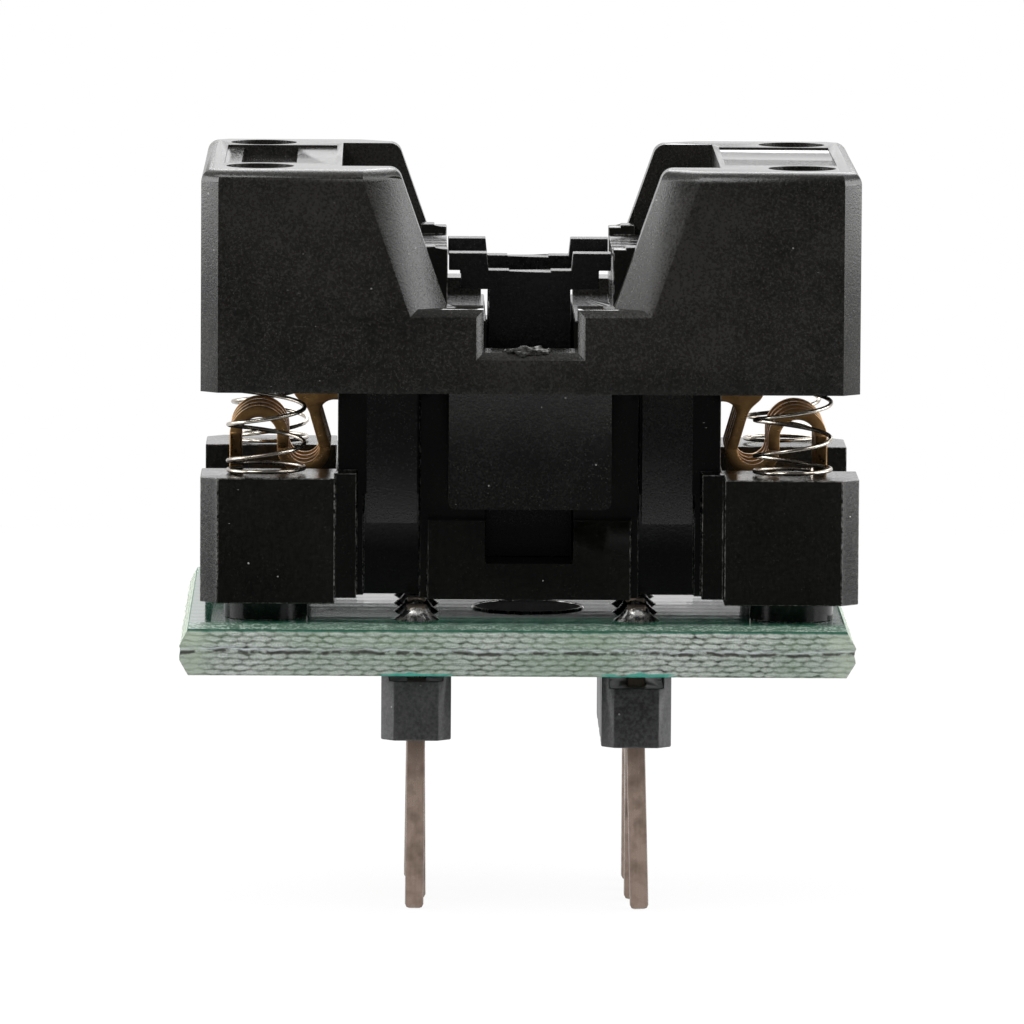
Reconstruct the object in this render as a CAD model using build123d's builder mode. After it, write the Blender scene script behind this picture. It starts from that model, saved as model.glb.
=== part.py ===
"""Press-down test socket for an eight-lead chip on a small board with two pin rows.

Millimetres, +Z up. The origin is under the middle of the board, level with the
tips of the header pins. X runs across the pin rows and Y runs from front to back.
"""

from build123d import *
from math import atan, atan2, cos, degrees, radians, sin, tau
import os

os.makedirs("parts", exist_ok=True)

# Board
board_side_margin = -0.065
board_end_margin = 2.1
board_thick = 1.6
score_web = 0.5
web_proud = 0.33
pin_hole_d = 1.0
tail_hole_d = 0.7

# Header rows
pin_pitch = 2.54
row_spacing = 7.62
pins_per_row = 4
pin_size = 0.64
pin_below_body = 6.0
pin_above_board = 0.5
pin_tip_bevel = 0.16
body_height = 2.5
body_width = 2.42
body_corner = 0.45
body_groove_width = 1.86
body_groove_depth = 0.42
right_body_drop = 0.22
header_x = 0.34
header_y = -2.64

# Socket footprint and its place on the board
socket_x = 0.42
socket_depth = 15.4
skirt_wall = 0.785
skirt_gap = 0.15
cut_over = 1.0
corner_chamfer = 0.6
foot_height = 0.65
foot_d = 2.9

# Socket base
post_depth = 3.42
post_height = 4.35
bed_inset = 0.3
bed_height = 2.25
comb_outer_x = 6.65
comb_link_gap = 0.08
comb_upper_x = 6.3
comb_shoulder = 7.25
comb_upper_rise = 1.5
comb_top_x = 4.3
comb_top = 11.85
comb_half_depth = 4.85
link_width = 0.74
link_half_depth = 5.85
sill_half_width = 3.52
sill_half_depth = 6.1
sill_height = 2.75
shelf_height = 9.65
shelf_half_depth = 5.4
end_block_outer_x = 3.8
end_block_depth = 1.0
end_block_top = 12.13
end_block_step_x = 3.3
end_block_step = 0.08
nest_half_width = 2.87
channel_half_width = 1.53
channel_floor = 1.25
lead_wall_x = 4.2
slot_floor_gap = 0.4
slot_side_gap = 0.06

# Chip nest insert
nest_side_gap = 0.05
stem_gap = 0.12
nest_wall_inner_y = 2.75
nest_wall_thick = 0.95
nest_wall_top = 11.85
notch_half_width = 1.5
notch_depth = 0.6
notch_draft = 0.06
notch_dip_half_width = 0.72
notch_dip = 0.05
wing_inner_bottom = 10.59
wing_outer_bottom = 11.25
wing_step_x = 2.4

# Floating cover
cover_gap = 2.95
cover_height = 7.7
cover_travel = 2.3
mouth_half_top = 4.59
mouth_half_foot = 2.9
ledge_height = 2.9
u_half_width = 1.63
u_floor = 1.42
window_half_x = 6.55
comb_relief_gap = 0.13
window_half_y = 5.7
leg_window_half_y = 5.5
bar_cavity_half_y = 3.6
bevel_width = 1.35
bevel_depth = 1.0
edge_bevel = 0.25
top_round = 0.45
panel_inner_inset = 0.2
panel_outer_inset = 0.765
panel_half_y = 4.3
panel_depth = 0.08
recess_inset = 2.295
recess_y = 0.65
recess_width = 1.92
recess_length = 7.3
recess_depth = 0.4
tongue_half_width = 2.81
tongue_front_y = 7.35
tongue_thick = 1.15
tongue_drop = 4.03
leg_inner_x = 3.9
leg_outer_x = 5.64
leg_front_y = 6.05
leg_thick = 1.1
leg_drop = 4.65
hook_reach = 0.35
hook_height = 0.8
hook_lead_in = 0.25
hook_play = 0.08
slide_gap = 0.1

# Springs
spring_side_inset = 2.265
spring_end_inset = 2.0
spring_outer_d = 2.8
spring_wire_d = 0.15
spring_pitch = 1.22
closed_turn_gap = 0.015
coil_steps = 9
coil_sides = 6
pocket_clearance = 0.15
pocket_depth = 4.4
top_hole_shift_x = 0.25
top_hole_shift_y = -0.05
top_hole_d = 2.34

# Contacts, drawn for the right-hand row in the socket's upright section
contact_pitch = 1.27
contacts_per_row = 4
sheet_thick = 0.3
strip_width = 0.4
loop_x = 9.42
loop_height = 5.29
loop_outer_r = 1.03
bend_height = 4.87
bend_outer_r = 0.94
split_angle = 5
tail_width = 0.34
tail_shoulder = 1.6
tail_below_board = 0.35
limb_inset = 0.34
limb_height = 6.25
limb_width = 0.4
web_flare = 0.3
web_height = 0.45
upright_foot_x = 5.1
upright_top_x = 4.4
upright_rise = 3.45
upright_width = 0.5
upright_foot_ease = 0.35
beak_tip_x = 3.48
beak_tip_gap = 0.1
beak_tip_width = 0.3
beak_rise = 1.25
beak_back_lean = 0.14
beak_back_rise = 0.75
beak_neck_lead = 0.25
beak_neck_rise = 0.2
crown_inner = 0.25
crown_outer = 0.3
crown_fall = 0.1
crown_shoulder = 0.55
crown_shoulder_rise = 0.45
finger_root_reach = 0.5
finger_root_rise = 0.15
nose_reach = 0.72
nose_height = 9.85
nose_r = 0.25
nose_lean = 10
cam_clearance = 0.05
arm_swing = 12

# Solder
pin_solder_r = 0.8
pin_solder_height = 0.45
pin_solder_waist = 0.3
tail_solder_r = 0.62
tail_solder_height = 0.5
tail_solder_taper = 30

# Worked-out heights, from the pin tips upwards
body_bottom = pin_below_body
board_bottom = body_bottom + body_height
board_top = board_bottom + board_thick
base_bottom = board_top + foot_height
post_top = base_bottom + post_height
shelf_z = base_bottom + shelf_height
cover_bottom = post_top + cover_gap
cover_top = cover_bottom + cover_height
pocket_top = cover_bottom + pocket_depth

# Worked-out places across the socket, from the contacts outwards
loop_inner_r = loop_outer_r - strip_width
bend_inner_r = bend_outer_r - strip_width
bend_x = loop_x - loop_outer_r - bend_inner_r
outer_leg_x = loop_x + (loop_outer_r + loop_inner_r) / 2
limb_top_x = bend_x - limb_inset
nose_x = bend_x + nose_reach
bar_skirt_x = loop_x + loop_outer_r + skirt_gap
half_width = bar_skirt_x + skirt_wall
half_depth = socket_depth / 2
socket_width = 2 * half_width
board_width = socket_width + 2 * board_side_margin
board_depth = socket_depth + 2 * board_end_margin
post_inner_x = comb_outer_x + comb_link_gap
link_inner_x = post_inner_x - link_width
bed_half_width = half_width - bed_inset
relief_half_x = comb_outer_x + comb_relief_gap
panel_inner_x = window_half_x + panel_inner_inset
panel_outer_x = half_width - panel_outer_inset
recess_x = half_width - recess_inset
spring_x = half_width - spring_side_inset
spring_y = half_depth - spring_end_inset
top_hole_x = spring_x + top_hole_shift_x
top_hole_y = spring_y + top_hole_shift_y
contact_ys = [contact_pitch * (i - (contacts_per_row - 1) / 2) for i in range(contacts_per_row)]
pin_ys = [pin_pitch * (i - (pins_per_row - 1) / 2) for i in range(pins_per_row)]
loop_z = base_bottom + loop_height
bend_z = base_bottom + bend_height
pivot_z = bend_z - (bend_outer_r + bend_inner_r) / 2
limb_top_z = base_bottom + limb_height
web_z = limb_top_z + web_flare
web_top = web_z + web_height
beak_tip_z = shelf_z + beak_tip_gap
nose_z = base_bottom + nose_height
slot_width = sheet_thick + 2 * slot_side_gap
slot_floor_z = web_z - slot_floor_gap


def level(z):
    """Horizontal plane at height z, centred on the socket."""
    return Plane((socket_x, 0, z))


def upright(y):
    """Plane facing the front at depth y, with X and Z as its own axes."""
    return Plane((socket_x, y, 0), x_dir=(1, 0, 0), z_dir=(0, -1, 0))


def header_level(z):
    """Horizontal plane at height z, centred on the pin rows."""
    return Plane((header_x, header_y, z))


end_to_end = Plane((0, 0, 0), z_dir=(0, 1, 0))


def write(part, name):
    """Label a finished piece and write it under its own name."""
    part.label = name
    export_step(part, "parts/" + name + ".step")


def make_board():
    """Laminate with scored and snapped edges, drilled for the pins and the tails."""
    score_height = (board_thick - score_web) / 2
    score_taper = degrees(atan(web_proud / score_height))
    web_width = board_width + 2 * web_proud
    web_depth = board_depth + 2 * web_proud
    web_bottom = board_bottom + score_height
    with BuildPart() as board:
        with BuildSketch(Plane.XY.offset(web_bottom)):
            Rectangle(web_width, web_depth)
        extrude(amount=score_web)
        with BuildSketch(Plane.XY.offset(web_bottom + score_web)):
            Rectangle(web_width, web_depth)
        extrude(amount=score_height, taper=score_taper)
        with BuildSketch(Plane.XY.offset(web_bottom)):
            Rectangle(web_width, web_depth)
        extrude(amount=-score_height, taper=score_taper)
        with BuildSketch(header_level(board_bottom)):
            with GridLocations(row_spacing, pin_pitch, 2, pins_per_row):
                Circle(pin_hole_d / 2)
        extrude(amount=board_thick, mode=Mode.SUBTRACT)
        with BuildSketch(level(board_bottom)):
            with GridLocations(2 * outer_leg_x, contact_pitch, 2, contacts_per_row):
                Circle(tail_hole_d / 2)
        extrude(amount=board_thick, mode=Mode.SUBTRACT)
    write(board.part, "circuit_board")


def octagon(length, width, corner):
    """Corner points of a rectangle with its four corners cut off."""
    x, y = width / 2, length / 2
    right = [(x, corner - y), (x, y - corner), (x - corner, y)]
    left = [(corner - x, y), (-x, y - corner), (-x, corner - y)]
    return right + left + [(corner - x, -y), (x - corner, -y)]


def make_header_body(side, name):
    """Four joined cells with cut corners, grooved on top; the right row hangs a little lower."""
    row_x = side * row_spacing / 2
    cells = [(row_x, y) for y in pin_ys]
    bottom = body_bottom - right_body_drop if side > 0 else body_bottom
    with BuildPart() as body:
        with BuildSketch(header_level(bottom)):
            with Locations(*cells):
                Polygon(*octagon(pin_pitch, body_width, body_corner))
        extrude(amount=body_height)
        with BuildSketch(header_level(bottom + body_height)):
            with Locations((row_x, 0)):
                Rectangle(body_groove_width, pin_pitch * pins_per_row)
        extrude(amount=-body_groove_depth, mode=Mode.SUBTRACT)
        with BuildSketch(header_level(bottom)):
            with Locations(*cells):
                Rectangle(pin_size, pin_size)
        extrude(amount=body_height, mode=Mode.SUBTRACT)
    write(body.part, name)


def make_header_pin(side, y, name):
    """Square pin, bevelled at its tip, standing a little proud of the board."""
    length = board_top + pin_above_board
    with BuildPart() as pin:
        with BuildSketch(header_level(0)):
            with Locations((side * row_spacing / 2, y)):
                Rectangle(pin_size, pin_size)
        extrude(amount=length)
        chamfer(pin.faces().sort_by(Axis.Z)[0].edges(), pin_tip_bevel)
    write(pin.part, name)


def make_pin_solder():
    """Hollow-sided fillets round the pins on the board's top, in two cones each."""
    half = pin_size / 2
    waist = (half + pin_solder_waist * (pin_solder_r - half), pin_solder_waist * pin_solder_height)
    flank = [(pin_solder_r, 0), waist, (half, pin_solder_height)]
    with BuildPart() as solder:
        with BuildSketch(Plane((header_x, header_y, board_top), x_dir=(1, 0, 0), z_dir=(0, -1, 0))):
            Polygon((0, 0), *flank, (0, pin_solder_height), align=None)
        fillet_cone = revolve(axis=Axis((header_x, header_y, 0), (0, 0, 1)), mode=Mode.PRIVATE)
        with GridLocations(row_spacing, pin_pitch, 2, pins_per_row):
            add(fillet_cone)
        with BuildSketch(header_level(board_top)):
            with GridLocations(row_spacing, pin_pitch, 2, pins_per_row):
                Rectangle(pin_size, pin_size)
        extrude(amount=pin_solder_height, mode=Mode.SUBTRACT)
    write(solder.part, "pin_solder_joints")


def make_tail_solder():
    """Blunt cones round the contact tails under the board."""
    with BuildPart() as solder:
        with BuildSketch(level(board_bottom)):
            with GridLocations(2 * outer_leg_x, contact_pitch, 2, contacts_per_row):
                Circle(tail_solder_r)
        extrude(amount=-tail_solder_height, taper=tail_solder_taper)
        with BuildSketch(level(board_bottom)):
            with GridLocations(2 * outer_leg_x, contact_pitch, 2, contacts_per_row):
                Rectangle(tail_width, sheet_thick)
        extrude(amount=-tail_solder_height, mode=Mode.SUBTRACT)
    write(solder.part, "tail_solder_joints")


def comb_outline():
    """Right half of the comb's upright section, from the nest wall to its shoulder."""
    shoulder_z = base_bottom + comb_shoulder
    top_z = base_bottom + comb_top
    upper = [(comb_upper_x, shoulder_z), (comb_upper_x, shoulder_z + comb_upper_rise)]
    lower = [(nest_half_width, base_bottom), (comb_outer_x, base_bottom), (comb_outer_x, shoulder_z)]
    return lower + upper + [(comb_top_x, top_z), (nest_half_width, top_z)]


def slot_outline():
    """What a contact's head needs cut from the comb, stepped for the chip's lead."""
    above = base_bottom + end_block_top + cut_over
    inner = nest_half_width - cut_over
    outer = comb_outer_x + comb_link_gap / 2
    wall = [(inner, shelf_z), (lead_wall_x, shelf_z), (lead_wall_x, slot_floor_z)]
    lower = wall + [(outer, slot_floor_z)]
    return lower + [(outer, above), (inner, above)]


def make_base():
    """Corner posts on feet, a comb for each row of contacts, and the chip's shelf."""
    post_width = half_width - post_inner_x
    post_x = (half_width + post_inner_x) / 2
    post_y = half_depth - post_depth / 2
    bed_half_depth = half_depth - post_depth
    comb_depth = 2 * comb_half_depth
    centre_half_width = end_block_outer_x
    block_width = end_block_outer_x - nest_half_width
    block_y = shelf_half_depth - end_block_depth / 2
    with BuildPart() as base:
        with BuildSketch(level(base_bottom)):
            with GridLocations(2 * post_x, 2 * post_y, 2, 2):
                Rectangle(post_width, post_depth)
        extrude(amount=post_height)
        corners = base.edges().filter_by(Axis.Z).filter_by(is_outer_corner)
        chamfer(corners, corner_chamfer)
        with BuildSketch(level(base_bottom)):
            Rectangle(2 * bed_half_width, 2 * bed_half_depth)
        extrude(amount=bed_height)
        with BuildSketch(level(base_bottom)):
            with Locations((post_inner_x - link_width / 2, 0), (link_width / 2 - post_inner_x, 0)):
                Rectangle(link_width, 2 * link_half_depth)
        extrude(amount=post_height)
        with BuildSketch(level(base_bottom)):
            Rectangle(2 * sill_half_width, 2 * sill_half_depth)
        extrude(amount=sill_height)
        with BuildSketch(level(base_bottom)):
            Rectangle(2 * centre_half_width, 2 * shelf_half_depth)
        extrude(amount=shelf_height)
        with BuildSketch(upright(comb_half_depth)):
            Polygon(*comb_outline(), align=None)
            mirror(about=Plane.YZ)
        extrude(amount=comb_depth)
        with BuildSketch(level(shelf_z)):
            with GridLocations(2 * (nest_half_width + block_width / 2), 2 * block_y, 2, 2):
                Rectangle(block_width, end_block_depth)
        extrude(amount=end_block_top - shelf_height)
        step_width = end_block_outer_x - end_block_step_x
        with BuildSketch(level(base_bottom + end_block_top)):
            with GridLocations(2 * (end_block_step_x + step_width / 2), 2 * block_y, 2, 2):
                Rectangle(step_width, end_block_depth)
        extrude(amount=end_block_step)
        with BuildSketch(level(base_bottom + channel_floor)):
            Rectangle(2 * channel_half_width, 2 * (sill_half_depth + cut_over))
        extrude(amount=comb_top, mode=Mode.SUBTRACT)
        for y in contact_ys:
            with BuildSketch(upright(y + slot_width / 2)):
                Polygon(*slot_outline(), align=None)
                mirror(about=Plane.YZ)
            extrude(amount=slot_width, mode=Mode.SUBTRACT)
        with BuildSketch(level(base_bottom)):
            with GridLocations(2 * outer_leg_x, contact_pitch, 2, contacts_per_row):
                Rectangle(strip_width + slot_side_gap, sheet_thick + slot_side_gap)
        extrude(amount=bed_height, mode=Mode.SUBTRACT)
        cut_hook_pockets()
        with BuildSketch(level(board_top)):
            with GridLocations(2 * spring_x, 2 * spring_y, 2, 2):
                Circle(foot_d / 2)
        extrude(amount=foot_height)
    write(base.part, "socket_base")


def is_outer_corner(edge):
    """True for an upright edge on an outer corner of the socket's footprint."""
    place = edge.center()
    at_side = abs(abs(place.X - socket_x) - half_width) < 0.01
    at_end = abs(abs(place.Y) - half_depth) < 0.01
    return at_side and at_end


def cut_hook_pockets():
    """Undercuts in the base that the cover's hooks catch in and slide down."""
    pocket_top_z = cover_bottom - leg_drop + hook_height + hook_play
    width = leg_outer_x - leg_inner_x + 2 * slide_gap
    depth = hook_reach + slide_gap
    with BuildSketch(level(base_bottom)) as pockets:
        with GridLocations(leg_inner_x + leg_outer_x, 2 * comb_half_depth - depth, 2, 2):
            Rectangle(width, depth)
    extrude(pockets.sketch, amount=pocket_top_z - base_bottom, mode=Mode.SUBTRACT)


def nest_wall_outline():
    """Right half of the nest's end wall: a stem with a stepped wing and a notch."""
    top = base_bottom + nest_wall_top
    notch_z = top - notch_depth
    stem_x = channel_half_width - stem_gap
    wing_x = nest_half_width - nest_side_gap
    inner_z = base_bottom + wing_inner_bottom
    outer_z = base_bottom + wing_outer_bottom
    stem = [(0, shelf_z - cut_over), (stem_x, shelf_z - cut_over), (stem_x, inner_z)]
    wing = [(wing_step_x, inner_z), (wing_step_x, outer_z), (wing_x, outer_z), (wing_x, top)]
    notch = [(notch_half_width, top), (notch_half_width - notch_draft, notch_z)]
    dip = [(notch_dip_half_width, notch_z), (notch_dip_half_width, notch_z - notch_dip)]
    return stem + wing + notch + dip + [(0, notch_z - notch_dip)]


def make_nest():
    """Pedestal under the chip, with an end wall at each end of it."""
    stem_width = 2 * (channel_half_width - stem_gap)
    stem_bottom = base_bottom + channel_floor
    outer_y = nest_wall_inner_y + nest_wall_thick
    with BuildPart() as nest:
        with BuildSketch(level(stem_bottom)):
            Rectangle(stem_width, 2 * outer_y)
        extrude(amount=shelf_z - stem_bottom)
        with BuildSketch(upright(-nest_wall_inner_y)):
            Polygon(*nest_wall_outline(), align=None)
            mirror(about=Plane.YZ)
        extrude(amount=nest_wall_thick)
        mirror(about=end_to_end)
    write(nest.part, "chip_nest")


def mouth_outline():
    """Right half of the cut-out in the cover's end walls, V above and U below."""
    ledge_z = cover_bottom + ledge_height
    slope = (mouth_half_top - mouth_half_foot) / (cover_height - ledge_height)
    above = cover_top + cut_over
    floor_z = cover_bottom + u_floor
    foot = [(0, floor_z), (u_half_width, floor_z), (u_half_width, ledge_z), (mouth_half_foot, ledge_z)]
    return foot + [(mouth_half_top + slope * cut_over, above), (0, above)]


def swung(point, angle):
    """Where a point of the right-hand arm goes when it swings out by an angle."""
    dx, dz = point[0] - bend_x, point[1] - pivot_z
    return (bend_x + dx * cos(angle) + dz * sin(angle), pivot_z + dz * cos(angle) - dx * sin(angle))


def cam_outline():
    """Right half of the space inside a side bar, with the cam face along its top."""
    end = swung((nose_x, nose_z), radians(arm_swing))
    path = (end[0] - nose_x, end[1] + cover_travel - nose_z)
    lean = atan2(path[0], path[1])
    away = nose_r + cam_clearance
    start_x = nose_x - away * cos(lean)
    start_z = nose_z + away * sin(lean)
    wedge_z = nose_z
    wedge_x = start_x - (start_z - wedge_z) * path[0] / path[1]
    skirt_z = start_z + (bar_skirt_x - start_x) * path[1] / path[0]
    below = cover_bottom - cut_over
    inner = window_half_x - cut_over
    return [(inner, below), (bar_skirt_x, below), (bar_skirt_x, skirt_z), (wedge_x, wedge_z), (inner, wedge_z)]


def flared_mouth(width):
    """Points of the V alone, with both slopes moved out by a width."""
    ledge_z = cover_bottom + ledge_height
    slope = (mouth_half_top - mouth_half_foot) / (cover_height - ledge_height)
    foot = mouth_half_foot + width
    top = mouth_half_top + slope * cut_over + width
    above = cover_top + cut_over
    return [(-foot, ledge_z), (foot, ledge_z), (top, above), (-top, above)]


def cut_mouth():
    """V and U cut through both end walls, with the wide bevels on their outer faces."""
    with BuildSketch(upright(half_depth)) as mouth:
        Polygon(*mouth_outline(), align=None)
        mirror(about=Plane.YZ)
    extrude(mouth.sketch, amount=socket_depth, mode=Mode.SUBTRACT)
    for side in (-1, 1):
        with BuildSketch(upright(side * half_depth)) as face:
            Polygon(*flared_mouth(bevel_width), align=None)
        with BuildSketch(upright(side * (half_depth - bevel_depth))) as throat:
            Polygon(*flared_mouth(0), align=None)
        loft([face.sketch, throat.sketch], mode=Mode.SUBTRACT)


def is_mouth_edge(edge):
    """True for an edge of the ledge or the U on an end wall's outer face."""
    place = edge.center()
    if abs(abs(place.Y) - half_depth) > 0.01 or abs(place.X - socket_x) > mouth_half_foot + bevel_width:
        return False
    return cover_bottom + 0.1 < place.Z < cover_bottom + ledge_height + 0.01


def cut_window():
    """Opening down the middle of the frame, wider below for the base's combs."""
    with BuildSketch(level(cover_bottom)) as window:
        Rectangle(2 * window_half_x, 2 * leg_window_half_y)
        Rectangle(2 * (leg_inner_x - slide_gap), 2 * window_half_y)
    extrude(window.sketch, amount=cover_height, mode=Mode.SUBTRACT)
    with BuildSketch(level(cover_bottom)) as relief:
        Rectangle(2 * relief_half_x, 2 * leg_window_half_y)
    extrude(relief.sketch, amount=nose_z - cover_bottom, mode=Mode.SUBTRACT)
    with BuildSketch(upright(bar_cavity_half_y)) as cavity:
        Polygon(*cam_outline(), align=None)
        mirror(about=Plane.YZ)
    extrude(cavity.sketch, amount=2 * bar_cavity_half_y, mode=Mode.SUBTRACT)


def cut_cover_top():
    """Shallow panels along the side bars and one deeper recess in the left bar."""
    panel_width = panel_outer_x - panel_inner_x
    panel_x = (panel_outer_x + panel_inner_x) / 2
    with BuildSketch(level(cover_top)) as panels:
        with GridLocations(2 * panel_x, 0, 2, 1):
            Rectangle(panel_width, 2 * panel_half_y)
    extrude(panels.sketch, amount=-panel_depth, mode=Mode.SUBTRACT)
    with BuildSketch(level(cover_top)) as recess:
        with Locations((-recess_x, recess_y)):
            Rectangle(recess_width, recess_length)
    extrude(recess.sketch, amount=-recess_depth, mode=Mode.SUBTRACT)


def cut_spring_pockets():
    """Stepped holes over the four springs, open at the top for the mould's pins."""
    with BuildSketch(level(cover_bottom)) as pockets:
        with GridLocations(2 * spring_x, 2 * spring_y, 2, 2):
            Circle(spring_outer_d / 2 + pocket_clearance)
    extrude(pockets.sketch, amount=pocket_depth, mode=Mode.SUBTRACT)
    with BuildSketch(level(pocket_top)) as holes:
        with GridLocations(2 * top_hole_x, 2 * top_hole_y, 2, 2):
            Circle(top_hole_d / 2)
    extrude(holes.sketch, amount=cover_top - pocket_top, mode=Mode.SUBTRACT)


def is_hook_edge(edge):
    """True for the lower edge of a hook, on the side towards the base."""
    place = edge.center()
    hook_y = leg_front_y - leg_thick - hook_reach
    return abs(abs(place.Y) - hook_y) < 0.01 and place.Z < cover_bottom - leg_drop + 0.01


def add_cover_guides():
    """Four hooked legs and two tongues that keep the cover square as it slides."""
    leg_width = leg_outer_x - leg_inner_x
    leg_x = leg_inner_x + leg_outer_x
    leg_y = 2 * leg_front_y - leg_thick
    hook_y = 2 * (leg_front_y - leg_thick) - hook_reach
    root_height = 2 * hook_height
    with BuildSketch(level(cover_bottom - leg_drop)) as legs:
        with GridLocations(leg_x, leg_y, 2, 2):
            Rectangle(leg_width, leg_thick)
    extrude(legs.sketch, amount=leg_drop + root_height)
    with BuildSketch(level(cover_bottom - leg_drop)) as hooks:
        with GridLocations(leg_x, hook_y, 2, 2):
            Rectangle(leg_width, hook_reach)
    extrude(hooks.sketch, amount=hook_height)
    with BuildSketch(level(cover_bottom - tongue_drop)) as tongues:
        with GridLocations(0, 2 * tongue_front_y - tongue_thick, 1, 2):
            Rectangle(2 * tongue_half_width, tongue_thick)
    extrude(tongues.sketch, amount=tongue_drop + root_height / 2)


def make_cover():
    """Open frame that floats on the springs and carries the cams, legs and tongues."""
    with BuildPart() as cover:
        with BuildSketch(level(cover_bottom)):
            Rectangle(socket_width, socket_depth)
        extrude(amount=cover_height)
        chamfer(cover.edges().filter_by(Axis.Z).filter_by(is_outer_corner), corner_chamfer)
        cut_mouth()
        fillet(cover.faces().group_by(Axis.Z)[-1].edges(), top_round)
        chamfer(cover.edges().filter_by(is_mouth_edge), edge_bevel)
        cut_window()
        cut_cover_top()
        cut_spring_pockets()
        add_cover_guides()
        chamfer(cover.edges().filter_by(Axis.X).filter_by(is_hook_edge), hook_lead_in)
        fillet(cover.edges().filter_by(Axis.Y).filter_by(is_tongue_corner), edge_bevel)
    write(cover.part, "floating_cover")


def is_tongue_corner(edge):
    """True for the two lower corners of a tongue."""
    place = edge.center()
    at_side = abs(abs(place.X - socket_x) - tongue_half_width) < 0.01
    return at_side and abs(place.Z - (cover_bottom - tongue_drop)) < 0.01


def coil_points():
    """Points along the middle of a spring's wire, with one closed turn at each end."""
    wire_r = spring_wire_d / 2
    coil_r = spring_outer_d / 2 - wire_r
    closed_rise = spring_wire_d + closed_turn_gap
    low = post_top + wire_r
    open_length = pocket_top - wire_r - low - 2 * closed_rise
    open_turns = round(open_length / spring_pitch)
    rise = open_length / open_turns
    points = []
    for step in range((open_turns + 2) * coil_steps + 1):
        turn = step / coil_steps
        in_open = min(max(turn - 1, 0), open_turns)
        z = low + closed_rise * (turn - in_open) + rise * in_open
        points.append((coil_r * cos(tau * turn), coil_r * sin(tau * turn), z))
    return points


def make_spring(x, y, name):
    """Coil spring from its post up to the ceiling of its pocket in the cover."""
    with BuildPart() as spring:
        with BuildLine(Plane((socket_x + x, y, 0))) as path:
            Polyline(*coil_points())
        with BuildSketch(Plane(origin=path.line @ 0, z_dir=path.line % 0)):
            RegularPolygon(spring_wire_d / 2, coil_sides)
        sweep(transition=Transition.RIGHT)
    write(spring.part, name)


def root_outline():
    """Fixed half of a contact: tail, outer leg, loop over, and half of the lower bend."""
    tail_x = outer_leg_x - tail_width / 2
    leg_x = outer_leg_x - strip_width / 2
    tail_z = board_bottom - tail_below_board
    shoulder_z = base_bottom + tail_shoulder
    split = 270 + split_angle
    outer = CenterArc((bend_x, bend_z), bend_outer_r, split, 90 - split_angle)
    inner = CenterArc((bend_x, bend_z), bend_inner_r, split, 90 - split_angle)
    Line(outer @ 0, inner @ 0)
    Line(inner @ 1, (loop_x - loop_outer_r, loop_z))
    CenterArc((loop_x, loop_z), loop_outer_r, 0, 180)
    Line(outer @ 1, (loop_x - loop_inner_r, loop_z))
    CenterArc((loop_x, loop_z), loop_inner_r, 0, 180)
    leg_in = [(leg_x, loop_z), (leg_x, shoulder_z), (tail_x, shoulder_z), (tail_x, tail_z)]
    leg_out = [(leg_x + strip_width, loop_z), (leg_x + strip_width, shoulder_z)]
    tail = [(tail_x + tail_width, shoulder_z), (tail_x + tail_width, tail_z), (tail_x, tail_z)]
    Polyline(*leg_in)
    Polyline(*leg_out, *tail)


def arm_outline():
    """Moving half of a contact: half of the bend, limb, cam finger and beak."""
    outer = CenterArc((bend_x, bend_z), bend_outer_r, 180, 90)
    inner = CenterArc((bend_x, bend_z), bend_inner_r, 180, 90)
    Line(outer @ 1, inner @ 1)
    limb_in = limb_top_x - limb_width / 2
    limb_out = limb_top_x + limb_width / 2
    foot_in = upright_foot_x
    top_in = upright_top_x
    top_z = web_z + upright_rise
    tip_out = beak_tip_x + beak_tip_width
    beak_top = beak_tip_z + beak_rise
    lean = radians(nose_lean)
    away = (nose_r * cos(lean), nose_r * sin(lean))
    nose_in = (nose_x - away[0], nose_z + away[1])
    nose_top = (nose_x + away[1], nose_z + away[0])
    nose_out = (nose_x + away[0], nose_z - away[1])
    under = [outer @ 0, (limb_in, limb_top_z), (limb_in - web_flare, web_z), (foot_in + upright_foot_ease, web_z)]
    neck = (tip_out + beak_neck_lead, top_z + beak_neck_rise)
    upright_in = [(foot_in, web_z + upright_foot_ease), (top_in, top_z), neck]
    beak_back = (beak_tip_x + beak_back_lean, beak_tip_z + beak_back_rise)
    beak = [(tip_out, beak_tip_z), (beak_tip_x, beak_tip_z), beak_back]
    crown = [(top_in - crown_inner, beak_top), (top_in + crown_outer, beak_top - crown_fall)]
    shoulder = (top_in + crown_shoulder, top_z + crown_shoulder_rise)
    upright_out = [shoulder, (foot_in + upright_width, web_top)]
    finger = [(limb_out, web_top), nose_in]
    Polyline(*under, *upright_in, *beak, *crown, *upright_out, *finger)
    ThreePointArc(nose_in, nose_top, nose_out)
    finger_root = (limb_out + finger_root_reach, web_z + finger_root_rise)
    Polyline(nose_out, finger_root, (limb_out, limb_top_z), inner @ 0)


def make_contact(side, y, name):
    """One stamped contact: its rooted half and its swinging half, side by side."""
    for outline, suffix in ((root_outline, "_root"), (arm_outline, "_arm")):
        with BuildPart() as piece:
            with BuildSketch(upright(y + sheet_thick / 2)):
                with BuildLine():
                    outline()
                make_face()
                if side < 0:
                    mirror(about=Plane.YZ, mode=Mode.REPLACE)
            extrude(amount=sheet_thick)
        write(piece.part, name + suffix)


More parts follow.
